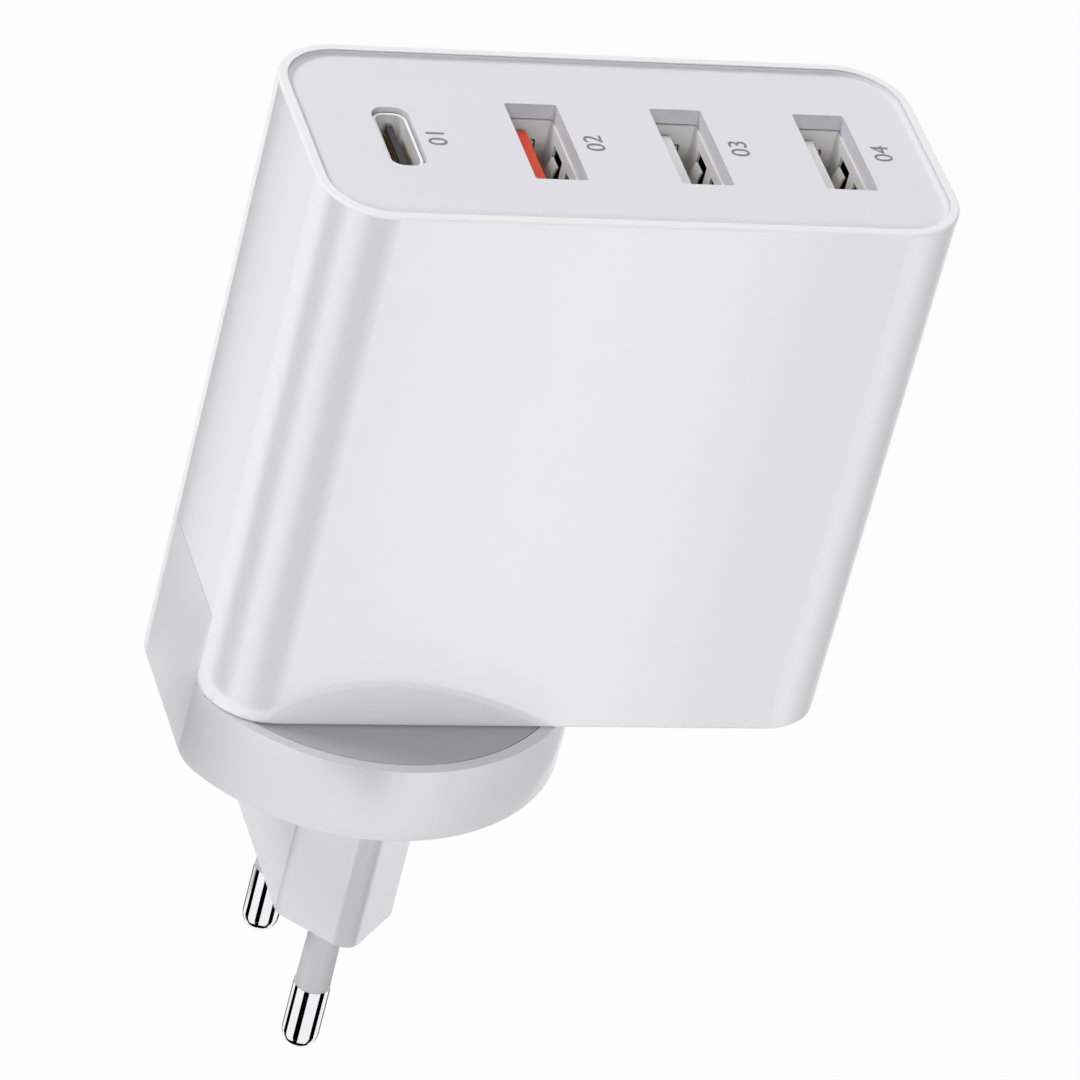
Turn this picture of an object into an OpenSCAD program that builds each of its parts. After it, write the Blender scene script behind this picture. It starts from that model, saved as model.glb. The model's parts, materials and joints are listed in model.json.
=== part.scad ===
// Four-port fast charger with a round travel plug head, in millimetres.
// Origin: on the flat end of the plug nose, midway between the two pins.
// x runs along the row of ports, y from the front to the back, z up to the ports.

/* [Body] */
// Width of the body, along the row of ports
body_w = 67; // [66:1:74]
// Thickness of the body, front to back
body_t = 30; // [30:1:34]
// Height of the body, from the plug head to its rim
body_h = 63; // [63:1:70]
// Radius of the four tall corners
corner_r = 7; // [6:0.5:8]
// Rounding of the top and bottom edges
edge_r = 0.3; // [0.2:0.05:0.6]
// Thickness of the moulded walls
wall = 2.2; // [2:0.1:2.4]
// Width of the raised rim round the port plate
rim_w = 1; // [0.8:0.1:1.2]
// Depth of the port plate below the rim
rim_drop = 0.65; // [0.5:0.05:0.9]

/* [Port plate] */
// Thickness of the port plate
plate_t = 1.8; // [1.6:0.1:2]
// Distance between neighbouring ports
port_pitch = 15.3; // [15:0.1:15.8]
// Opening for a flat socket, across the row
flat_gap_w = 5.5; // [5.4:0.1:5.6]
// Opening for a flat socket, front to back
flat_gap_l = 13; // [12.8:0.1:13]
// Opening for the oval socket, across the row
oval_gap_w = 3.9; // [3.8:0.1:4.2]
// Opening for the oval socket, front to back
oval_gap_l = 10; // [9.7:0.1:10.2]

/* [Plug head] */
// Thickness of the round head
head_t = 9; // [9:0.5:11]
// Distance from the plug's axis to the flat end that the head and the body share
end_gap = 20.25; // [19.8:0.05:20.5]
// Height of the corner block above the head
block_h = 8.8; // [8:0.1:9.5]
// Width of the corner block across the body's end
block_w = 6.6; // [6.2:0.1:7]
// Distance of the block's front side in front of the axis
block_front = 8.4; // [8:0.1:8.6]
// Length of the plug nose
nose_h = 19.7; // [19:0.1:21]
// Width of the plug nose across its flats
nose_w = 12.8; // [12.6:0.1:13.7]
// Length of the plug nose from point to point, before rounding
nose_l = 34; // [33.8:0.1:35]
// Rounding of the nose's corners
nose_r = 2; // [1.5:0.1:2.4]

/* [Pins] */
// Distance between the pins
pin_gap = 19; // [18.6:0.1:19.2]
// Length of a pin outside the nose
pin_l = 19; // [18.6:0.1:19.4]
// Length of the bare metal end of a pin
pin_bare = 8.5; // [8:0.1:9]
// Diameter of a pin's bare end
pin_d = 4; // [4:0.05:4.05]
// Diameter of the insulating sleeve at the bare metal
sleeve_d = 3.8; // [3.7:0.05:3.9]
// Diameter of the insulating sleeve at the nose
sleeve_root_d = 3.5; // [3.4:0.05:3.6]

/* [Hidden] */
$fn = 32;
fine_fn = 20;
fit = 0.08;
body_z = nose_h + head_t;
top_z = body_z + body_h;
plate_z = top_z - rim_drop - plate_t;
plate_gap = 0.15;
end_x = -end_gap;
body_shift = end_x + body_w/2;
corner_x = end_x + corner_r;
corner_y = body_t/2 - corner_r;
head_r = norm([corner_x, corner_y]) + corner_r;
block_x = end_x + block_w;
cavity_w = body_w - 2*wall;
cavity_t = body_t - 2*wall;
cavity_r = corner_r - wall;
floor_z = body_z + wall;

// Flat sockets: metal shell, tongue, contacts and retention springs
shell_t = 0.3;
shell_w = 5.72;
shell_l = 13.1;
shell_h = 13.2;
tongue_w = 1.84;
tongue_l = 11.1;
tongue_drop = 0.8;
tongue_gap = 0.55;
block_back_h = 3;
contact_w = 1;
contact_t = 0.25;
contact_pitch = 2.2;
window_w = 3;
window_top = 1.25;
spring_w = 1.9;
spring_l = 5.4;
spring_y = 2.3;
slit_w = 0.22;
slit_x = 1.1;
slit_r = 0.38;
slit_top = 2.2;

// Oval socket
oval_drop = 0.5;
oval_w = 3.56;
oval_l = 9.4;
oval_r = 1.35;
oval_t = 0.3;
oval_low = plate_z - 8.2;
oval_high = plate_z + plate_t - oval_drop;
oval_gap_r = 1.5;
blade_t = 0.7;
blade_l = 6.7;
blade_drop = 0.6;
oval_base_h = 3;

// Boards and the parts on them
board_t = 1.6;
board_y = shell_l/2 + fit;
board_w = cavity_w - 0.6;
board_top = plate_z - 0.4;
board_low = floor_z + 2;
guide_t = 1.2;
guide_reach = 2;
riser_t = 1.2;
core_w = 20;
core_h = 21;
core_t = 15;
core_leg = 3.6;
core_post_r = 3.6;
core_x = body_shift + 5;
core_z = body_z + 29;
can_r = 6;
can_h = 24;
can_groove = 2.6;
polymer_r = 3.15;
polymer_h = 9;
choke_r = 6.4;
choke_hole_r = 3.2;
choke_t = 5.2;
wire_r = 0.55;
sink_t = 1.5;

// Pins, and what joins them to the body
pin_root = 9;
pin_neck_d = 2.6;
sleeve_in = 3;
sleeve_seat_d = 4.6;
nose_skin = 1.2;
nose_floor = 7;
nose_wall = 1.8;
cover_rim = 1.25;
cover_t = 1.6;
ledge = 1.4;
blade_w = 6.3;
blade_thick = 1.5;
blade_gap = 12.7;
blade_out = 15;
clip_t = 0.4;

port_x = [for (i = [0:3]) body_shift + (i - 1.5)*port_pitch];

// Shared outlines and solids

module rounded_plan(w, t, r) {
    square([w - 2*r, t], center = true);
    square([w, t - 2*r], center = true);
    for (sx = [-1, 1], sy = [-1, 1])
        translate([sx*(w/2 - r), sy*(t/2 - r)]) circle(r);
}

// Upright rectangle whose four corners have radius e
module soft_profile(w, h, e) {
    translate([-w/2 + e, 0]) square([w - 2*e, h]);
    translate([-w/2, e]) square([w, h - 2*e]);
    for (sx = [-1, 1], z = [e, h - e]) translate([sx*(w/2 - e), z]) circle(e, $fn = fine_fn);
}

// Right-hand half of the same outline, for turning round the z axis
module turned_profile(r, h, e) {
    square([r - e, h]);
    translate([0, e]) square([r, h - 2*e]);
    for (z = [e, h - e]) translate([r - e, z]) circle(e, $fn = fine_fn);
}

// Block with tall corners of radius r and top and bottom edges of radius e
module soft_block(w, t, h, r, e) {
    for (sx = [-1, 1], sy = [-1, 1])
        translate([sx*(w/2 - r), sy*(t/2 - r), 0]) rotate_extrude() turned_profile(r, h, e);
    rotate([90, 0, 90]) linear_extrude(w - 2*r, center = true) soft_profile(t, h, e);
    rotate([90, 0, 0]) linear_extrude(t - 2*r, center = true) soft_profile(w, h, e);
}

// Corner of the body that the plug head fills, grown by g on its hidden sides
module corner_box(g) {
    translate([end_x - 1, -block_front - g, -1])
        cube([block_w + 1 + g, body_t/2 + block_front + 1 + g, block_h + 1 + g]);
}

// Nose outline: flats at the sides, square points front and back, round corners
module nose_plan(w, l, r) {
    side_y = (l - w)/2 + r - r*sqrt(2);
    tip_y = l/2 - r*sqrt(2);
    reach = r/sqrt(2);
    for (s = [-1, 1]) {
        translate([0, s*tip_y]) circle(r);
        for (sx = [-1, 1]) translate([sx*(w/2 - r), s*side_y]) circle(r);
    }
    polygon([
        [w/2, -side_y], [w/2, side_y], [w/2 - r + reach, side_y + reach], [reach, tip_y + reach],
        [-reach, tip_y + reach], [-w/2 + r - reach, side_y + reach], [-w/2, side_y],
        [-w/2, -side_y], [-w/2 + r - reach, -side_y - reach], [-reach, -tip_y - reach],
        [reach, -tip_y - reach], [w/2 - r + reach, -side_y - reach]
    ]);
}

// Casing

module housing() color("white") {
    ledge_z = top_z - rim_drop - plate_t;
    difference() {
        translate([body_shift, 0, body_z]) soft_block(body_w, body_t, body_h, corner_r, edge_r);
        translate([body_shift, 0, ledge_z]) linear_extrude(plate_t + rim_drop + 1)
            rounded_plan(body_w - 2*rim_w, body_t - 2*rim_w, corner_r - rim_w);
        difference() {
            translate([body_shift, 0, floor_z]) linear_extrude(body_h)
                rounded_plan(cavity_w, cavity_t, cavity_r);
            translate([0, 0, body_z]) corner_box(wall);
        }
        translate([0, 0, body_z]) corner_box(fit);
        for (s = [-1, 1]) translate([0, s*blade_gap/2, body_z + wall/2])
            cube([blade_w + fit, blade_thick + fit, wall + 2], center = true);
    }
    guide_low = body_z + block_h + wall + 1;
    for (side = [-1, 1], y = [board_y - fit - guide_t, board_y + board_t + fit])
        translate([body_shift + side*(cavity_w/2 - guide_reach/2 + 0.1), y + guide_t/2,
                (guide_low + plate_z - 1)/2])
            cube([guide_reach + 0.2, guide_t, plate_z - 1 - guide_low], center = true);
}

module port_plate() color("lavender") {
    inset = rim_w + plate_gap;
    translate([body_shift, 0, plate_z + fit]) linear_extrude(plate_t - fit)
        difference() {
            rounded_plan(body_w - 2*inset, body_t - 2*inset, corner_r - inset);
            for (i = [1:3]) translate([port_x[i] - body_shift, 0])
                rounded_plan(flat_gap_w, flat_gap_l, 0.3);
            translate([port_x[0] - body_shift, 0]) rounded_plan(oval_gap_w, oval_gap_l, oval_gap_r);
        }
}

// Flat sockets, drawn with the mouth at z = 0 and the tongue against the left wall

module flat_shell(i) color("silver") translate([port_x[i], 0, plate_z]) {
    side_x = shell_w/2 - shell_t/2;
    difference() {
        translate([0, 0, -shell_h/2]) cube([shell_w, shell_l, shell_h], center = true);
        translate([0, 0, -shell_h/2])
            cube([shell_w - 2*shell_t, shell_l - 2*shell_t, shell_h + 1], center = true);
        for (y = [-spring_y, spring_y]) translate([side_x, y, -window_top - (spring_l + 1)/2])
            cube([1, window_w, spring_l + 1], center = true);
        translate([slit_x, 0, -slit_top]) rotate([90, 0, 0])
            linear_extrude(shell_l + 1, center = true) slit_plan();
    }
    for (y = [-spring_y, spring_y]) translate([side_x, y, -window_top])
        rotate([90, 0, 180]) linear_extrude(spring_w, center = true)
            mirror([0, 1]) spring_side();
    for (s = [-1, 1]) translate([0, s*(shell_l/2 - shell_t/2), -shell_h - 0.9])
        cube([2, shell_t, 2], center = true);
}

// Narrow slit in the shape of a hook, its bend towards the mouth
module slit_plan() {
    leg = 1.4;
    difference() {
        translate([0, -slit_r]) circle(slit_r, $fn = fine_fn);
        translate([0, -slit_r]) circle(slit_r - slit_w, $fn = fine_fn);
        translate([-1, -slit_r - 1]) square([2, 1]);
    }
    translate([slit_r - slit_w, -slit_r - leg]) square([slit_w, leg]);
    translate([-slit_r, -slit_r - leg/2]) square([slit_w, leg/2]);
}

// Side view of a spring: it leaves the wall at the far end and bows into the socket
module spring_side() {
    bow = 0.75;
    thick = 0.22;
    steps = 10;
    inner = [for (k = [0:steps]) [bow*sin(150*k/steps), spring_l + 1.2 - (spring_l + 0.2)*k/steps]];
    outer = [for (k = [steps:-1:0]) [inner[k][0] - thick, inner[k][1]]];
    polygon(concat(inner, outer));
}

module flat_tongue(i, tint) color(tint) translate([port_x[i], 0, plate_z]) {
    inner_w = shell_w - 2*shell_t - fit;
    inner_l = shell_l - 2*shell_t - fit;
    translate([0, 0, -shell_h + block_back_h/2]) cube([inner_w, inner_l, block_back_h], center = true);
    translate([-inner_w/2 + tongue_gap, -tongue_l/2, -shell_h + block_back_h - 0.1])
        cube([tongue_w, tongue_l, shell_h - block_back_h + 0.1 - tongue_drop]);
}

module flat_contacts(i) color("gold") translate([port_x[i], 0, plate_z]) {
    face_x = -(shell_w - 2*shell_t - fit)/2 + tongue_gap + tongue_w;
    for (k = [-1.5:1:1.5]) translate([face_x, k*contact_pitch - contact_w/2, -shell_h + block_back_h])
        cube([contact_t, contact_w, shell_h - block_back_h - tongue_drop - 0.7]);
}

// Oval socket

module oval_shell() color("silver") translate([port_x[0], 0, oval_low]) {
    linear_extrude(oval_high - oval_low) difference() {
        rounded_plan(oval_w, oval_l, oval_r);
        rounded_plan(oval_w - 2*oval_t, oval_l - 2*oval_t, oval_r - oval_t);
    }
    for (s = [-1, 1]) translate([0, s*(oval_l/2 - oval_t/2), -0.6]) cube([0.7, oval_t, 1.4], center = true);
}

module oval_tongue() color("dimgray") translate([port_x[0], 0, oval_low]) {
    inner_w = oval_w - 2*oval_t - fit;
    blade_h = oval_high - oval_low - blade_drop;
    linear_extrude(oval_base_h) rounded_plan(inner_w, oval_l - 2*oval_t - fit, oval_r - oval_t);
    translate([0, 0, blade_h/2 + 0.5]) cube([blade_t, blade_l, blade_h - 1], center = true);
}

module oval_contacts() color("gold") translate([port_x[0], 0, oval_low + oval_base_h]) {
    strip_h = oval_high - oval_low - oval_base_h - blade_drop - 0.6;
    for (s = [-1, 1], k = [-5.5:1:5.5])
        translate([s*(blade_t/2 + 0.05), k*0.5, strip_h/2]) cube([0.1, 0.25, strip_h], center = true);
}

// Boards

module main_board() color("darkgreen") {
    half_w = board_w/2;
    notch_x = block_x + wall + 0.8;
    notch_z = body_z + block_h + wall + 0.8;
    translate([0, board_y + board_t, 0]) rotate([90, 0, 0]) linear_extrude(board_t)
        polygon([
            [notch_x, board_low], [body_shift + half_w, board_low],
            [body_shift + half_w, board_top], [body_shift - half_w, board_top],
            [body_shift - half_w, notch_z], [notch_x, notch_z]
        ]);
}

module riser_board() color("darkgreen")
    translate([port_x[0], board_y/2 - oval_l/4, oval_low - 1.3 - riser_t/2])
        cube([9, board_y + oval_l/2 - fit, riser_t], center = true);

// Transformer, its winding axis square to the board

module core_half() {
    depth = core_t/2 - fit/2;
    mid_y = board_y - 0.4 - core_t/2;
    for (s = [-1, 1]) translate([core_x + s*(core_w - core_leg)/2, mid_y + depth/2 + fit/2, core_z])
        cube([core_leg, depth, core_h - 4], center = true);
    translate([core_x, mid_y + core_t/2 - core_leg/2, core_z])
        cube([core_w, core_leg, core_h - 4], center = true);
    translate([core_x, mid_y + fit/2, core_z]) rotate([-90, 0, 0]) cylinder(r = core_post_r, h = depth);
}

module core_half_upper() color("dimgray") core_half();

module core_half_lower() color("dimgray")
    translate([0, 2*(board_y - 0.4) - core_t, 0]) mirror([0, 1, 0]) core_half();

module bobbin() color("black") {
    room = core_t - 2*core_leg;
    translate([core_x, board_y - 0.4 - core_t/2, core_z]) rotate([90, 0, 0]) difference() {
        union() {
            cylinder(r = core_post_r + 0.8, h = room - 0.4, center = true);
            for (s = [-1, 1]) translate([0, 0, s*(room/2 - 0.55)])
                cylinder(r = core_w/2 - core_leg - 0.2, h = 0.7, center = true);
        }
        cylinder(r = core_post_r + 0.1, h = core_t, center = true);
    }
}

module winding() color("goldenrod") {
    room = core_t - 2*core_leg - 1.9;
    translate([core_x, board_y - 0.4 - core_t/2, core_z]) rotate([90, 0, 0]) difference() {
        cylinder(r = core_w/2 - core_leg - 0.5, h = room, center = true);
        cylinder(r = core_post_r + 0.85, h = core_t, center = true);
    }
}

// Capacitors, choke and power parts

module can_capacitor(x, z) translate([x, board_y - 0.3 - can_r, z]) {
    difference() {
        cylinder(r = can_r, h = can_h);
        translate([0, 0, can_groove]) rotate_extrude() translate([can_r + 0.25, 0]) circle(0.7, $fn = 16);
        for (turn = [0, 90]) rotate(turn) translate([0, 0, can_h]) cube([can_r, 0.5, 0.6], center = true);
    }
    for (s = [-1, 1]) translate([s*1.8, 0, -2.4]) cylinder(r = 0.35, h = 2.5);
}

module input_capacitor_left() color("darkslategray") can_capacitor(end_x + wall + 1 + can_r, body_z + 16);

module input_capacitor_right() color("darkslategray")
    can_capacitor(body_shift + cavity_w/2 - 2.5 - can_r, body_z + 8);

module output_capacitors() color("silver")
    for (i = [1:3]) translate([port_x[i] - 1.5, board_y - 0.05, plate_z - shell_h - 5.5])
        rotate([90, 0, 0]) cylinder(r = polymer_r, h = polymer_h);

module choke_at() translate([body_shift + 3, board_y - 0.9 - choke_r, body_z + 10]) children();

module choke_core() color("dimgray") choke_at() rotate([0, 90, 0]) difference() {
    cylinder(r = choke_r - 1.2, h = choke_t, center = true);
    cylinder(r = choke_hole_r + 1, h = choke_t + 1, center = true);
}

// Two windings, one on each half of the ring core
module choke_winding() color("orangered") choke_at() rotate([0, 90, 0])
    for (start = [20, 200]) rotate(start) rotate_extrude(angle = 140) difference() {
        translate([choke_hole_r, -choke_t/2 - 1]) square([choke_r - choke_hole_r, choke_t + 2]);
        translate([choke_hole_r + 0.95, -choke_t/2 - 0.05])
            square([choke_r - choke_hole_r - 2.1, choke_t + 0.1]);
    }

module line_capacitor() color("gold")
    translate([body_shift + 13, board_y - 0.1 - 5.5, body_z + 9.5])
        cube([5.6, 11, 11], center = true);

module fuse() color("saddlebrown")
    translate([body_shift - 8.5, board_y - 0.1, body_z + 12]) rotate([90, 0, 0]) cylinder(r = 2, h = 8);

module bridge_rectifier() color("black")
    translate([body_shift - 4.5, board_y - 1.3, body_z + 17]) cube([8, 2.4, 3.8], center = true);

module power_transistor() color("black")
    translate([body_shift - 10, board_y - 2.4, core_z + 2]) cube([6.6, 4.6, 9], center = true);

module heat_sink() color("silver") {
    plate_w = 10;
    plate_h = 14;
    translate([body_shift - 10 - plate_w/2, board_y - 5 - sink_t, core_z + 2 - plate_h/2])
        cube([plate_w, sink_t, plate_h]);
    for (k = [0:3]) translate([body_shift - 10 - plate_w/2 + k*(plate_w - 1)/3, board_y - 5 - sink_t - 5,
            core_z + 2 - plate_h/2])
        cube([1, 5.1, plate_h]);
}

module safety_capacitor() color("royalblue")
    translate([body_shift + 26, board_y - 5.2, core_z + core_h/2 - 2.7])
        rotate([0, 90, 0]) cylinder(r = 4, h = 3);

module controller_chip() color("black")
    translate([body_shift - 4, board_y + board_t + 0.9, core_z]) cube([5, 1.6, 4], center = true);

module port_chips() color("black")
    for (i = [0:3]) translate([port_x[i], board_y + board_t + 0.6, plate_z - 17])
        cube([4, 1, 4], center = true);

// Way of the mains current, from the pins up to the board

module inlet_blade(y) color("gold") {
    translate([0, y, body_z]) difference() {
        translate([-blade_w/2, -blade_thick/2, -blade_out]) cube([blade_w, blade_thick, blade_out + wall + 2]);
        translate([0, 0, -blade_out + 3]) rotate([90, 0, 0]) cylinder(r = 1.5, h = 3, center = true);
    }
}

module inlet_blade_front() inlet_blade(-blade_gap/2);

module inlet_blade_back() inlet_blade(blade_gap/2);

module lead(y, x) {
    rise = 3;
    start_z = floor_z + 2 + wire_r;
    translate([x, y, start_z + 0.02]) cylinder(r = wire_r, h = rise);
    translate([x, y, start_z + 0.02 + rise]) sphere(wire_r, $fn = 16);
    translate([x, y, start_z + 0.02 + rise]) rotate([-90, 0, 0]) cylinder(r = wire_r, h = board_y - y - 0.05);
}

module live_lead() color("saddlebrown") lead(-blade_gap/2, -1.5);

module neutral_lead() color("blue") lead(blade_gap/2 - 1.6, 1.5);

// Plug head

module head_base() color("gainsboro") {
    pocket = 1.6;
    difference() {
        union() {
            translate([0, 0, nose_h]) linear_extrude(head_t) head_plan();
            linear_extrude(nose_h + 1) nose_plan(nose_w, nose_l, nose_r);
            intersection() {
                translate([body_shift, 0, body_z - 1]) linear_extrude(block_h + 1)
                    rounded_plan(body_w, body_t, corner_r);
                translate([0, 0, body_z]) corner_box(0);
            }
        }
        translate([0, 0, body_z - cover_t - fit]) linear_extrude(cover_t + 1) cover_plan(0);
        translate([0, 0, nose_h + 1.8]) linear_extrude(head_t) head_cavity();
        translate([0, 0, nose_floor]) linear_extrude(nose_h)
            nose_plan(nose_w - 2*nose_wall, nose_l - 3*nose_wall, nose_r/2);
        translate([end_x + pocket, -block_front + pocket, nose_h + 2.2])
            cube([block_w - 2*pocket, block_front + body_t/2 - corner_r - pocket, body_h]);
        for (s = [-1, 1]) translate([0, s*pin_gap/2, 0]) {
            translate([0, 0, -1]) cylinder(d = sleeve_root_d, h = nose_skin + 2);
            translate([0, 0, nose_skin]) cylinder(d = sleeve_seat_d, h = sleeve_in - nose_skin);
            translate([0, 0, sleeve_in - 1]) cylinder(d = pin_d, h = nose_floor);
        }
    }
}

// Disc with one flat end. Its corners are the body's own, so its round edge runs on from them.
module head_plan() {
    far = 2*head_r;
    end_wedge = [[0, 0], [far*corner_x, far*corner_y], [far*corner_x, -far*corner_y]];
    difference() {
        circle(head_r);
        polygon(end_wedge);
    }
    intersection() {
        polygon(end_wedge);
        union() {
            translate([end_x, -corner_y]) square([-end_x, 2*corner_y]);
            for (s = [-1, 1]) translate([corner_x, s*corner_y]) circle(corner_r);
        }
    }
}

// Outline of the cover and of the seat it lies in, shrunk by g
module cover_plan(g) {
    r = head_r - cover_rim - g;
    difference() {
        intersection() {
            circle(r);
            translate([end_x + cover_rim + g, -r]) square([2*r, 2*r]);
        }
        translate([end_x, -block_front - 0.8 - g])
            square([block_w + 0.8 + g, 2*head_r]);
    }
}

module head_cavity() intersection() {
    circle(head_r - cover_rim - ledge);
    translate([block_x + 1.8, -head_r]) square(2*head_r);
}

module head_cover() color("gainsboro")
    translate([0, 0, body_z - cover_t]) linear_extrude(cover_t - fit/2) difference() {
        cover_plan(0.12);
        for (s = [-1, 1]) translate([0, s*blade_gap/2])
            square([blade_w + 0.4, blade_thick + 0.4], center = true);
    }

module pin(y) color("silver") translate([0, y, 0]) {
    tip_r = pin_d/2;
    translate([0, 0, -pin_l + tip_r]) sphere(tip_r);
    translate([0, 0, -pin_l + tip_r]) cylinder(d = pin_d, h = pin_bare - tip_r);
    translate([0, 0, -pin_l + pin_bare - 0.1]) cylinder(d = pin_neck_d, h = pin_l - pin_bare + sleeve_in + 0.2);
    translate([0, 0, sleeve_in]) cylinder(d = pin_d, h = pin_root - sleeve_in);
}

module pin_front() pin(-pin_gap/2);

module pin_back() pin(pin_gap/2);

// Tapered sleeve round a pin's neck, with a wider seat inside the nose
module sleeve(y) color("lightgray") translate([0, y, 0]) difference() {
    union() {
        translate([0, 0, -pin_l + pin_bare])
            cylinder(d1 = sleeve_d, d2 = sleeve_root_d, h = pin_l - pin_bare);
        translate([0, 0, -0.1]) cylinder(d = sleeve_root_d, h = nose_skin + 0.2);
        translate([0, 0, nose_skin]) cylinder(d = sleeve_seat_d, h = sleeve_in - nose_skin);
    }
    translate([0, 0, -pin_l]) cylinder(d = pin_neck_d, h = pin_l + 2*sleeve_in);
}

module sleeve_front() sleeve(-pin_gap/2);

module sleeve_back() sleeve(pin_gap/2);

// Spring clip on a pin's root that grips the inlet blade
module clip(s) color("goldenrod") translate([0, 0, pin_root]) {
    grip_y = blade_gap/2;
    low = body_z - blade_out - pin_root - 0.5;
    high = low + 8;
    pin_y = pin_gap/2;
    for (side = [-1, 1]) translate([-blade_w/2, s*(grip_y + side*(blade_thick + clip_t)/2) - clip_t/2, low])
        cube([blade_w, clip_t, high - low]);
    translate([-blade_w/2, s*grip_y - blade_thick/2 - clip_t, low])
        cube([blade_w, blade_thick + 2*clip_t, clip_t]);
    translate([-1.5, s*(grip_y + blade_thick/2 + clip_t/2) - clip_t/2, 0]) cube([3, clip_t, low + 1]);
    translate([-1.5, min(s*(grip_y + blade_thick/2), s*(pin_y + 1)), 0])
        cube([3, abs(pin_y + 1 - grip_y - blade_thick/2), clip_t]);
}

module clip_front() clip(-1);

module clip_back() clip(1);

module flat_shell_1() flat_shell(1);

module flat_shell_2() flat_shell(2);

module flat_shell_3() flat_shell(3);

module flat_tongue_1() flat_tongue(1, "orangered");

module flat_tongue_2() flat_tongue(2, "white");

module flat_tongue_3() flat_tongue(3, "white");

module flat_contacts_1() flat_contacts(1);

module flat_contacts_2() flat_contacts(2);

module flat_contacts_3() flat_contacts(3);

housing();
port_plate();
oval_shell();
oval_tongue();
oval_contacts();
flat_shell_1();
flat_shell_2();
flat_shell_3();
flat_tongue_1();
flat_tongue_2();
flat_tongue_3();
flat_contacts_1();
flat_contacts_2();
flat_contacts_3();
main_board();
riser_board();
core_half_upper();
core_half_lower();
bobbin();
winding();
input_capacitor_left();
input_capacitor_right();
output_capacitors();
choke_core();
choke_winding();
line_capacitor();
fuse();
bridge_rectifier();
power_transistor();
heat_sink();
safety_capacitor();
controller_chip();
port_chips();
live_lead();
neutral_lead();
inlet_blade_front();
inlet_blade_back();
head_base();
head_cover();
pin_front();
pin_back();
sleeve_front();
sleeve_back();
clip_front();
clip_back();
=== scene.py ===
import json
import math

import bpy
from mathutils import Matrix, Vector


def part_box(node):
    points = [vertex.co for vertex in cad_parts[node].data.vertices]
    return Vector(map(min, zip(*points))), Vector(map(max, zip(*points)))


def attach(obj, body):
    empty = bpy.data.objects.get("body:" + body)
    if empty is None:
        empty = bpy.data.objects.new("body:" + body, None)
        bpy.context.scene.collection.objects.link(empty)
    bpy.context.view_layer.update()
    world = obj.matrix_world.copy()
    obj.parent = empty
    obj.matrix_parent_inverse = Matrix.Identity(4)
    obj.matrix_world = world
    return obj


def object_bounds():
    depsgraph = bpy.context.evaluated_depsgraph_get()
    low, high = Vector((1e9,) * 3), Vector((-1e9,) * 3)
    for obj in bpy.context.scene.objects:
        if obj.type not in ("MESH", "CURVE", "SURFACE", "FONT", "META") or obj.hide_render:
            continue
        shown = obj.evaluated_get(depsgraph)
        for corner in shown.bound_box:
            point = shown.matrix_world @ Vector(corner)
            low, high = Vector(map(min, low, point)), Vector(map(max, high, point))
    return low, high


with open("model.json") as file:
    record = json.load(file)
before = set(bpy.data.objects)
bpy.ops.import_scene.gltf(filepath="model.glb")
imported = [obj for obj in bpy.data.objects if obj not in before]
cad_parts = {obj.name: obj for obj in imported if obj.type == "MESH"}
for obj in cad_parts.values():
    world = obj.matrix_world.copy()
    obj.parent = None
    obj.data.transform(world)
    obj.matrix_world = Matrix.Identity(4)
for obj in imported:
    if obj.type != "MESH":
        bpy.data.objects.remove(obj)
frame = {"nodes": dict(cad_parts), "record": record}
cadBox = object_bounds()
nodes = frame["nodes"]
scene = bpy.context.scene
print("frame loaded")

# Camera: the photograph's angle, with the object tipped in the picture
view = {
    "azimuth": -23.5,
    "elevation": 35.1,
    "roll": 15.1,
    "target": (0.0064, -0.0224, 0.0586),
    "distance": 0.744,
    "lens": 250.3,
    "sensor": 36.0,
    "reach": 20,  # clip distance
}


def makeCamera(look):
    turn, rise, roll = (math.radians(look[k]) for k in ("azimuth", "elevation", "roll"))
    back = Vector((math.sin(turn) * math.cos(rise), -math.cos(turn) * math.cos(rise), math.sin(rise)))
    data = bpy.data.cameras.new("camera")
    data.lens = look["lens"]
    data.sensor_width = look["sensor"]
    data.clip_end = look["reach"]
    cam = bpy.data.objects.new("camera", data)
    spin = back.to_track_quat("Z", "Y").to_matrix() @ Matrix.Rotation(roll, 3, "Z")
    cam.matrix_world = Matrix.Translation(Vector(look["target"]) + back * look["distance"]) @ spin.to_4x4()
    scene.collection.objects.link(cam)
    scene.camera = cam


makeCamera(view)
scene.view_settings.view_transform = "Standard"

# Materials: each has a soft cloud in its colour, and a fine grain in its roughness and bump
finish = {"cloudDetail": 3.0, "grainDetail": 4.0, "roughLow": 0.85, "roughHigh": 1.15, "bumpDepth": 0.00002}


def newMaterial(name):
    mat = bpy.data.materials.new(name)
    mat.use_nodes = True
    tree = mat.node_tree
    return mat, tree, tree.nodes["Principled BSDF"]


# Adds a node, with its settings, and the values of its inputs by name
def addNode(tree, kind, settings=None, **inputs):
    node = tree.nodes.new(kind)
    for key, value in (settings or {}).items():
        setattr(node, key, value)
    for key, value in inputs.items():
        node.inputs[key.replace("_", " ")].default_value = value
    return node


def objectNoise(tree, scale, detail):
    coords = addNode(tree, "ShaderNodeTexCoord")
    noise = addNode(tree, "ShaderNodeTexNoise", Scale=scale, Detail=detail)
    tree.links.new(coords.outputs["Object"], noise.inputs["Vector"])
    return noise


def spread(tree, source, low, high):
    span = addNode(tree, "ShaderNodeMapRange", To_Min=low, To_Max=high)
    tree.links.new(source, span.inputs["Value"])
    return span.outputs["Result"]


def tinted(tree, source, first, second):
    mix = addNode(tree, "ShaderNodeMix", {"data_type": "RGBA"})
    mix.inputs[6].default_value = (*first, 1)
    mix.inputs[7].default_value = (*second, 1)
    tree.links.new(source, mix.inputs["Factor"])
    return mix.outputs[2]


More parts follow.
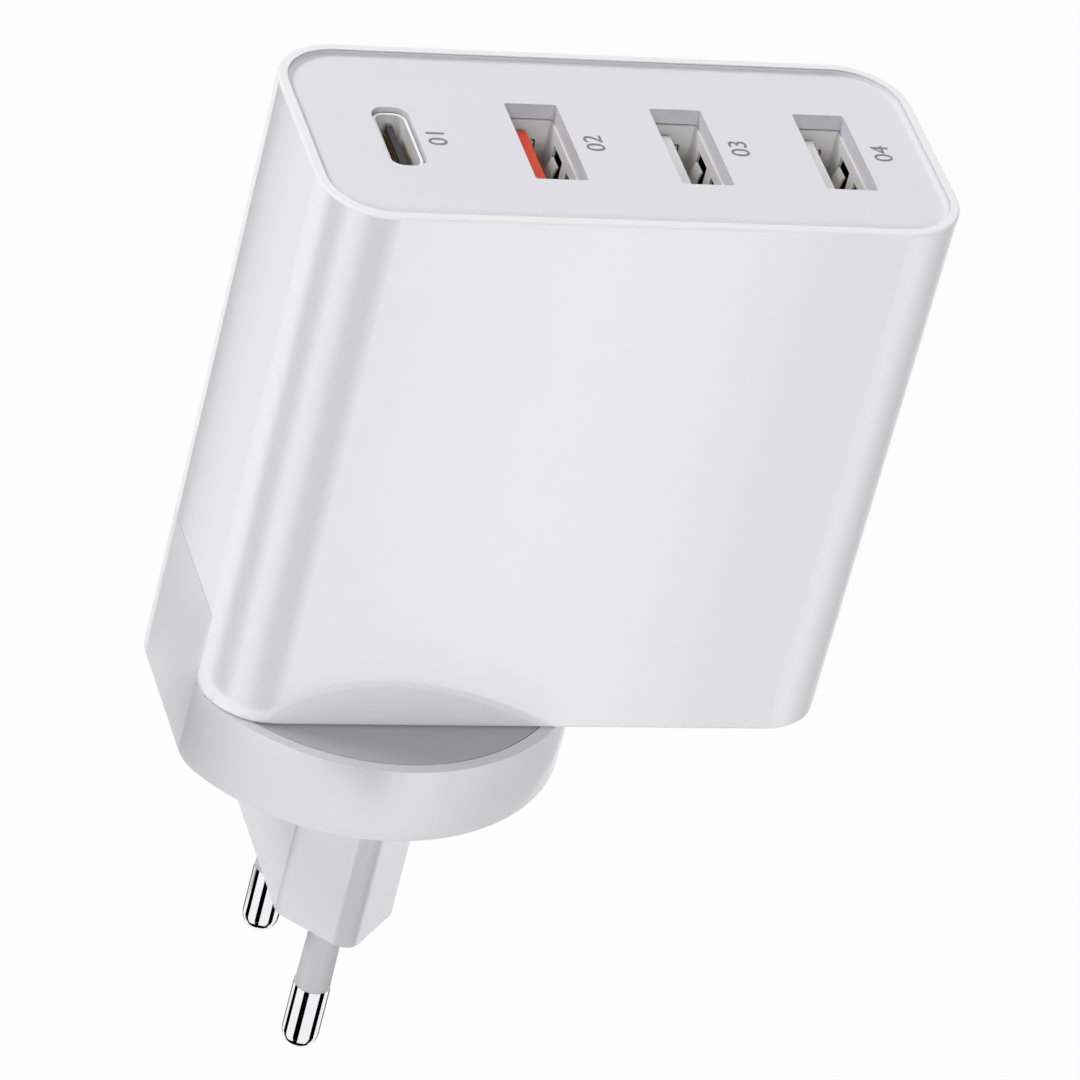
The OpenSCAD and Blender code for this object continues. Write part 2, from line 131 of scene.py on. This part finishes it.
# Bounced light takes a plain colour, so that a strong one doesn't tint what is beside it
def calmBounce(tree, colour, plain):
    path = addNode(tree, "ShaderNodeLightPath")
    mix = addNode(tree, "ShaderNodeMix", {"data_type": "RGBA"})
    mix.inputs[7].default_value = (*plain, 1)
    tree.links.new(path.outputs["Is Diffuse Ray"], mix.inputs["Factor"])
    tree.links.new(colour, mix.inputs[6])
    return mix.outputs[2]


def surface(name, look):
    mat, tree, shader = newMaterial(name)
    cloud = objectNoise(tree, look["cloud"], finish["cloudDetail"])
    grain = objectNoise(tree, look["grain"], finish["grainDetail"])
    pale = look["colour"]
    deep = [c * look["shade"] for c in pale]
    colour = tinted(tree, cloud.outputs["Fac"], deep, pale)
    if "bounce" in look:
        colour = calmBounce(tree, colour, look["bounce"])
    tree.links.new(colour, shader.inputs["Base Color"])
    rough = spread(tree, grain.outputs["Fac"], look["rough"] * finish["roughLow"],
                   look["rough"] * finish["roughHigh"])
    tree.links.new(rough, shader.inputs["Roughness"])
    bump = addNode(tree, "ShaderNodeBump", Strength=look["bump"], Distance=finish["bumpDepth"])
    tree.links.new(grain.outputs["Fac"], bump.inputs["Height"])
    tree.links.new(bump.outputs["Normal"], shader.inputs["Normal"])
    shader.inputs["Metallic"].default_value = look.get("metal", 0)
    shader.inputs["IOR"].default_value = look.get("ior", 1.5)
    shader.inputs["Coat Weight"].default_value = look.get("coat", 0)
    shader.inputs["Coat Roughness"].default_value = look.get("coatRough", 0.05)
    shader.inputs["Coat IOR"].default_value = look.get("coatIor", 1.5)
    return mat


# One row for each material slot. Cloud and grain are noise scales, shade is how dark the cloud goes,
# and coat is the gloss over the colour.
looks = {
    "body_white": {"colour": (0.79, 0.785, 0.81), "shade": 0.99, "rough": 0.3, "cloud": 60, "grain": 900,
                   "bump": 0.02, "ior": 1.45, "coat": 1.0, "coatRough": 0.03, "coatIor": 2.7},
    "plate_white": {"colour": (0.73, 0.725, 0.77), "shade": 0.99, "rough": 0.35, "cloud": 60, "grain": 2500,
                    "bump": 0.12},
    "head_white": {"colour": (0.66, 0.67, 0.685), "shade": 0.99, "rough": 0.35, "cloud": 60, "grain": 1800,
                   "bump": 0.06, "coat": 1.0, "coatRough": 0.1, "coatIor": 3.0},
    "socket_steel": {"colour": (0.88, 0.88, 0.88), "shade": 0.94, "rough": 0.38, "cloud": 500,
                     "grain": 6000, "bump": 0.1, "metal": 0.1},
    "tongue_red": {"colour": (0.84, 0.07, 0.02), "shade": 0.95, "rough": 0.4, "cloud": 300, "grain": 4000,
                   "bump": 0.1, "bounce": (0.4, 0.37, 0.37)},
    "tongue_white": {"colour": (0.90, 0.90, 0.89), "shade": 0.97, "rough": 0.4, "cloud": 300, "grain": 4000,
                     "bump": 0.1},
    "dark_plastic": {"colour": (0.02, 0.02, 0.022), "shade": 0.8, "rough": 0.5, "cloud": 300, "grain": 4000,
                     "bump": 0.15},
    "gold_contact": {"colour": (0.85, 0.62, 0.25), "shade": 0.9, "rough": 0.25, "cloud": 600, "grain": 7000,
                     "bump": 0.1, "metal": 1},
    "board_green": {"colour": (0.01, 0.07, 0.03), "shade": 0.7, "rough": 0.35, "cloud": 250, "grain": 5000,
                    "bump": 0.15},
    "ferrite": {"colour": (0.06, 0.06, 0.065), "shade": 0.7, "rough": 0.65, "cloud": 400, "grain": 6000,
                "bump": 0.4},
    "copper_wire": {"colour": (0.70, 0.28, 0.10), "shade": 0.8, "rough": 0.3, "cloud": 700, "grain": 5000,
                    "bump": 0.3, "metal": 1},
    "capacitor_sleeve": {"colour": (0.03, 0.045, 0.09), "shade": 0.85, "rough": 0.3, "cloud": 200,
                         "grain": 3000, "bump": 0.1},
    "polymer_can": {"colour": (0.75, 0.75, 0.77), "shade": 0.9, "rough": 0.3, "cloud": 300, "grain": 5000,
                    "bump": 0.15, "metal": 1},
    "yellow_case": {"colour": (0.80, 0.55, 0.05), "shade": 0.93, "rough": 0.4, "cloud": 200, "grain": 3000,
                    "bump": 0.1},
    "fuse_brown": {"colour": (0.20, 0.08, 0.04), "shade": 0.85, "rough": 0.5, "cloud": 300, "grain": 3000,
                   "bump": 0.15},
    "sink_aluminium": {"colour": (0.70, 0.70, 0.72), "shade": 0.9, "rough": 0.35, "cloud": 300,
                       "grain": 5000, "bump": 0.2, "metal": 1},
    "blue_coat": {"colour": (0.03, 0.14, 0.55), "shade": 0.85, "rough": 0.3, "cloud": 300, "grain": 3000,
                  "bump": 0.15},
    "lead_brown": {"colour": (0.22, 0.09, 0.04), "shade": 0.9, "rough": 0.5, "cloud": 300, "grain": 3000,
                   "bump": 0.1},
    "lead_blue": {"colour": (0.04, 0.14, 0.50), "shade": 0.9, "rough": 0.5, "cloud": 300, "grain": 3000,
                  "bump": 0.1},
    "blade_brass": {"colour": (0.80, 0.58, 0.25), "shade": 0.88, "rough": 0.3, "cloud": 400, "grain": 6000,
                    "bump": 0.15, "metal": 1},
    "pin_chrome": {"colour": (0.90, 0.90, 0.91), "shade": 0.98, "rough": 0.04, "cloud": 300, "grain": 3000,
                   "bump": 0.01, "metal": 1},
    "sleeve_grey": {"colour": (0.52, 0.52, 0.54), "shade": 0.97, "rough": 0.4, "cloud": 300, "grain": 3500,
                    "bump": 0.1},
}
materials = {name: surface(name, look) for name, look in looks.items()}

# The cover is its own moulding. Its colour is darker than the base round it, as painted shade for the
# shadow the body casts on the head's top, and its coat is weaker and rougher
coverShadeLook = {"colour": (0.54, 0.545, 0.56), "shade": 0.99, "rough": 0.4, "cloud": 60, "grain": 1800,
             "bump": 0.06, "coat": 0.4, "coatRough": 0.15}
coverShaded = surface("cover_painted_shade", coverShadeLook)
print("materials made")


# Every piece from the frame takes the material of its slot, apart from the cover, which takes the darker
# cover material with its painted shade
def dressNodes():
    slots = {row["node"]: row["material_slot"] for row in frame["record"]["subparts"]}
    for name, piece in nodes.items():
        for slot in piece.material_slots:
            slot.link = "OBJECT"
            slot.material = coverShaded if name == "head_cover" else materials[slots[name]]


dressNodes()

# Small bevels on moulded and turned edges, in metres
edges = {
    "widths": {"head_base": 0.00022, "head_cover": 0.00008, "port_plate": 0.00006, "housing": 0.00008,
               "pin_front": 0.00012, "pin_back": 0.00012, "sleeve_front": 0.00008, "sleeve_back": 0.00008},
    "segments": 3,
    "angle": 35,  # degrees, and sharper edges get a bevel
}


def softenEdges(look):
    for name, width in look["widths"].items():
        bevel = nodes[name].modifiers.new("soft edge", "BEVEL")
        bevel.width = width
        bevel.segments = look["segments"]
        bevel.limit_method = "ANGLE"
        bevel.angle_limit = math.radians(look["angle"])
        bevel.harden_normals = True


softenEdges(edges)
print("nodes dressed")

# A soft fillet closes the corner between the plate and the rim round it
fillet = {
    "radius": 0.00052,
    "reach": 0.00013,  # past the plate's edge, towards the rim
    "corner": 0.00585,  # the plate's own corner radius
    "sink": 0.00004,  # into the plate
    "turns": 24,  # steps round each corner
    "steps": 8,  # steps over the curve
}


# The plate's outline as points, moved inwards by the inset
def plateOutline(look, inset):
    low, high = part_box("port_plate")
    corner = look["corner"] - inset
    left, right = low.x + look["corner"], high.x - look["corner"]
    front, back = low.y + look["corner"], high.y - look["corner"]
    points = []
    for quarter, (x, y) in enumerate([(right, back), (left, back), (left, front), (right, front)]):
        for k in range(look["turns"] + 1):
            turn = math.radians(90 * (quarter + k / look["turns"]))
            points.append((x + corner * math.cos(turn), y + corner * math.sin(turn)))
    return points


# A ring of one section all round: up the rim, down a hollow quarter circle, and back under
def makeFillet(look):
    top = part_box("port_plate")[1].z
    radius = look["radius"]
    section = [(0, -look["sink"]), (0, radius)]
    for k in range(1, look["steps"] + 1):
        turn = math.radians(90 * k / look["steps"])
        section.append((radius - radius * math.cos(turn), radius - radius * math.sin(turn)))
    section.append((radius, -look["sink"]))
    rings = [[(x, y, top + rise) for x, y in plateOutline(look, inset - look["reach"])]
             for inset, rise in section]
    count = len(rings[0])
    faces = []
    for row in range(len(rings)):
        here, above = row * count, (row + 1) % len(rings) * count
        for k in range(count):
            n = (k + 1) % count
            faces.append((here + k, here + n, above + n, above + k))
    mesh = bpy.data.meshes.new("plate_fillet")
    mesh.from_pydata([p for ring in rings for p in ring], [], faces)
    curved = [1 <= k // count <= look["steps"] for k in range(len(faces))]
    mesh.polygons.foreach_set("use_smooth", curved)
    mesh.materials.append(materials["plate_white"])
    piece = bpy.data.objects.new("plate_fillet", mesh)
    scene.collection.objects.link(piece)
    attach(piece, "root")


makeFillet(fillet)
print("fillet made")

# Port numbers, printed on the plate to the right of each port
numbers = {
    "marks": {"oval_shell": "01", "flat_shell_1": "02", "flat_shell_2": "03", "flat_shell_3": "04"},
    "gap": 0.0022,
    "height": 0.0028,
    "lift": 0.00003,  # above the plate
    "ink": {"colour": (0.20, 0.20, 0.22), "shade": 0.95, "rough": 0.5, "cloud": 400, "grain": 5000,
            "bump": 0.1},
}


def printNumbers(look):
    ink = surface("number_ink", look["ink"])
    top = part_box("port_plate")[1].z
    for socket, mark in look["marks"].items():
        low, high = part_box(socket)
        text = bpy.data.curves.new("number_" + mark, "FONT")
        text.body = mark
        text.size = look["height"]
        text.align_x = "CENTER"
        text.align_y = "CENTER"
        text.resolution_u = 6
        piece = bpy.data.objects.new("number_" + mark, text)
        piece.location = (high.x + look["gap"], (low.y + high.y) / 2, top + look["lift"])
        piece.rotation_euler = (0, 0, math.radians(90))
        text.materials.append(ink)
        scene.collection.objects.link(piece)
        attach(piece, "root")


printNumbers(numbers)
print("numbers printed")

# Studio: a pale floor below the pins
floorLook = {
    "size": 6.0,
    "drop": 0.11,  # below the pins
    "colour": (1, 1, 1),
    "rough": 0.9,
    "glow": 0.82,  # share that is plain white to the eye, and the rest keeps the shadow
}


def makeFloor(look):
    mat, tree, shader = newMaterial("floor_white")
    shader.inputs["Base Color"].default_value = (*look["colour"], 1)
    shader.inputs["Roughness"].default_value = look["rough"]
    glow = addNode(tree, "ShaderNodeEmission", Strength=1.0)
    blend = addNode(tree, "ShaderNodeMixShader")
    path = addNode(tree, "ShaderNodeLightPath")
    seen = addNode(tree, "ShaderNodeMath", {"operation": "MAXIMUM"})
    share = addNode(tree, "ShaderNodeMath", {"operation": "MULTIPLY"})
    share.inputs[1].default_value = look["glow"]
    tree.links.new(path.outputs["Is Camera Ray"], seen.inputs[0])
    tree.links.new(path.outputs["Is Glossy Ray"], seen.inputs[1])
    tree.links.new(seen.outputs[0], share.inputs[0])
    tree.links.new(share.outputs[0], blend.inputs["Fac"])
    tree.links.new(shader.outputs[0], blend.inputs[1])
    tree.links.new(glow.outputs[0], blend.inputs[2])
    tree.links.new(blend.outputs[0], tree.nodes["Material Output"].inputs["Surface"])
    bpy.ops.mesh.primitive_plane_add(size=look["size"], location=(0, 0, cadBox[0].z - look["drop"]))
    floor = bpy.context.object
    floor.name = "floor"
    floor.data.materials.append(mat)


makeFloor(floorLook)

# Soft lamps, aimed at the middle of the object
lampAim = (0.01, 0, 0.04)
lamps = {
    "front": {"at": (-0.32, -1.2, -0.06), "size": (0.7, 0.4), "power": 6.5, "colour": (1, 1, 1)},
    "front_high": {"at": (-0.28, -1.15, 0.55), "size": (0.7, 0.2), "power": 5.5, "colour": (1, 1, 1)},
    "top": {"at": (0.12, 0.5, 1.15), "size": (0.6, 0.4), "power": 7.0, "colour": (0.98, 0.98, 1)},
    "left_top": {"at": (-0.80, 0.40, 0.80), "size": (0.4, 0.3), "power": 7.2, "colour": (1, 1, 1)},
    "right_back": {"at": (0.80, 0.85, 0.10), "size": (0.5, 0.4), "power": 3.2, "colour": (1, 1, 1)},
}


def makeLamp(name, look):
    data = bpy.data.lights.new(name, "AREA")
    data.shape = "RECTANGLE"
    data.size, data.size_y = look["size"]
    data.energy = look["power"]
    data.color = look["colour"]
    lamp = bpy.data.objects.new(name, data)
    lamp.location = look["at"]
    aim = Vector(lampAim) - lamp.location
    lamp.rotation_euler = aim.to_track_quat("-Z", "Y").to_euler()
    lamp.visible_glossy = False  # the cards and the white room make the reflections
    scene.collection.objects.link(lamp)


for lampName, lampLook in lamps.items():
    makeLamp(lampName, lampLook)
print("floor and lamps set")

# Dark cards that only gloss sees, each for what its name says. A card stands on an arc round a point,
# or on a straight wall. Its stops say how dark it is: at a bearing in degrees, which runs from -x
# towards -y, or at a y on the wall.
leftCorner = (-0.013, -0.008)  # middle of the body's front left corner
rightCorner = (0.040, -0.008)
headMiddle = (0, 0)
noseFront = (0, -0.010)
endWall = -0.0721  # x of the wall beside the body's left end
cards = {
    "body_front": {"round": leftCorner, "reach": 0.13, "low": -0.062, "high": 0.055,
                   "stops": [(-40, 0), (-27, 0.12), (-16, 0.5), (-7, 0.95), (10, 0.97), (20, 0.6),
                             (30, 0.24), (45, 0.3), (54, 0.5), (68, 0.92), (90, 0.95), (98, 0.75),
                             (106, 0.25), (113, 0.13), (120, 0)]},
    "body_strip": {"round": leftCorner, "reach": 0.13, "low": -0.055, "high": 0.055,
                   "stops": [(120, 0), (126, 0.03), (130, 0.17), (133, 0.37), (136, 0.3), (139, 0)]},
    "body_right": {"round": rightCorner, "reach": 0.13, "low": -0.065, "high": 0.08,
                   "stops": [(114, 0), (118, 0.25), (126, 0.1), (134, 0), (150, 0.1), (162, 0.25),
                             (174, 0.36), (193, 0.45), (205, 0.3), (213, 0.2), (225, 0)]},
    "body_end": {"wall": endWall, "low": -0.0705, "high": 0.002,
                 "stops": [(0.115, 0), (0.126, 0.12), (0.136, 0.12), (0.1443, 0.35), (0.1492, 0.9),
                           (0.16, 1), (0.20, 0)]},
    "block_end": {"wall": endWall, "low": -0.0925, "high": -0.0705,
                  "stops": [(0.1275, 0.9), (0.1289, 0.9), (0.1344, 0.6), (0.138, 0.42), (0.1443, 0.42),
                            (0.1492, 0.8), (0.16, 0.9)]},
    "head_corner": {"round": leftCorner, "reach": 0.13, "low": -0.0776, "high": -0.0648,
                    "stops": [(-66.5, 0.85), (-50, 1), (-12, 1), (-4, 0.85)]},
    "head_side": {"round": headMiddle, "reach": 0.13, "low": -0.069, "high": -0.0545,
                  "stops": [(-5, 0.85), (4, 0.8), (16, 0.56), (44, 0.23), (72, 0), (100, 0.02), (128, 0.19),
                            (156, 0.4), (185, 0.42), (214, 0.3), (225, 0)]},
    "nose_sides": {"round": noseFront, "reach": 0.12, "low": -0.096, "high": -0.0665,
                   "stops": [(-72, 0.15), (-66, 0.15), (-58, 0.3), (-46, 0.65), (-22, 0.4), (2, 0.37),
                             (24, 0.4), (28, 0.5), (36, 0.85), (54, 1), (140, 1), (152, 0.95), (170, 0.4),
                             (182, 0.1), (190, 0)]},
    "pin_stripes": {"round": headMiddle, "reach": 0.10, "low": -0.128, "high": -0.081,
                    "stops": [(-112, 0.9), (-75, 0.9), (-73, 0), (-41, 0), (-40, 1), (-12, 1), (-11, 0),
                              (39, 0), (40, 1), (69, 1), (70, 0), (132, 0), (133, 1), (163, 1), (164, 0),
                              (203, 0), (205, 0.9), (247, 0.9)]},
}
# Dark sectors just above the floor, for the pin tips: bearings, inner and outer radius
tipShade = {
    "height": -0.1288,
    "sectors": [(-60, 190, 0.0, 0.062), (-40, -12, 0.062, 0.10), (40, 69, 0.062, 0.10),
                (133, 163, 0.062, 0.10)],
}
cardSteps = {"card": 340, "sector": 60}  # strips in each


# Black where the mesh's fade is 1, clear where it is 0
def cardMaterial():
    mat = bpy.data.materials.new("card_black")
    mat.use_nodes = True
    tree = mat.node_tree
    tree.nodes.clear()
    out = addNode(tree, "ShaderNodeOutputMaterial")
    dark = addNode(tree, "ShaderNodeEmission", Strength=0.0)
    clear = addNode(tree, "ShaderNodeBsdfTransparent")
    blend = addNode(tree, "ShaderNodeMixShader")
    fade = addNode(tree, "ShaderNodeAttribute", {"attribute_name": "fade"})
    tree.links.new(fade.outputs["Fac"], blend.inputs["Fac"])
    tree.links.new(clear.outputs[0], blend.inputs[1])
    tree.links.new(dark.outputs[0], blend.inputs[2])
    tree.links.new(blend.outputs[0], out.inputs["Surface"])
    return mat


# The darkness between two stops runs straight from one to the other
def darkness(stops, place):
    for (start, first), (end, second) in zip(stops, stops[1:]):
        if place <= end:
            return first + (second - first) * (place - start) / (end - start)
    return stops[-1][1]


def onArc(centre, reach, bearing):
    turn = math.radians(bearing)
    return centre[0] - reach * math.cos(turn), centre[1] - reach * math.sin(turn)


def makeCard(name, look, black):
    steps = cardSteps["card"]
    stops = look["stops"]
    start, end = stops[0][0], stops[-1][0]
    verts, fades = [], []
    for k in range(steps + 1):
        place = start + (end - start) * k / steps
        if "wall" in look:
            x, y = look["wall"], place
        else:
            x, y = onArc(look["round"], look["reach"], place)
        verts += [(x, y, look["low"]), (x, y, look["high"])]
        fades += [darkness(stops, place)] * 2
    placeCard(name, black, verts, fades)


def makeSector(name, height, sector, black):
    steps = cardSteps["sector"]
    start, end, inner, outer = sector
    verts = []
    for k in range(steps + 1):
        for reach in (inner, outer):
            verts.append((*onArc(headMiddle, reach, start + (end - start) * k / steps), height))
    placeCard(name, black, verts, [1.0] * len(verts))


def placeCard(name, black, verts, fades):
    mesh = bpy.data.meshes.new(name)
    faces = [(k, k + 2, k + 3, k + 1) for k in range(0, len(verts) - 2, 2)]
    mesh.from_pydata(verts, [], faces)
    mesh.attributes.new("fade", "FLOAT", "POINT").data.foreach_set("value", fades)
    mesh.materials.append(black)
    card = bpy.data.objects.new(name, mesh)
    scene.collection.objects.link(card)
    card.visible_camera = False
    card.visible_diffuse = False
    card.visible_transmission = False
    card.visible_shadow = False


cardBlack = cardMaterial()
for cardName, cardLook in cards.items():
    makeCard(cardName, cardLook, cardBlack)
for count, sector in enumerate(tipShade["sectors"]):
    makeSector("tip_shade_%d" % count, tipShade["height"], sector, cardBlack)
print("cards placed")

worldLook = {"colour": (1, 1, 1), "strength": 0.1}


# Plain white to the eye and to gloss, and dim as a light
def makeWorld(look):
    world = bpy.data.worlds.new("studio")
    scene.world = world
    world.use_nodes = True
    tree = world.node_tree
    back = tree.nodes["Background"]
    back.inputs["Color"].default_value = (*look["colour"], 1)
    path = addNode(tree, "ShaderNodeLightPath")
    seen = addNode(tree, "ShaderNodeMath", {"operation": "MAXIMUM"})
    tree.links.new(path.outputs["Is Camera Ray"], seen.inputs[0])
    tree.links.new(path.outputs["Is Glossy Ray"], seen.inputs[1])
    level = spread(tree, seen.outputs[0], look["strength"], 1.0)
    tree.links.new(level, back.inputs["Strength"])


makeWorld(worldLook)
print("studio lit")
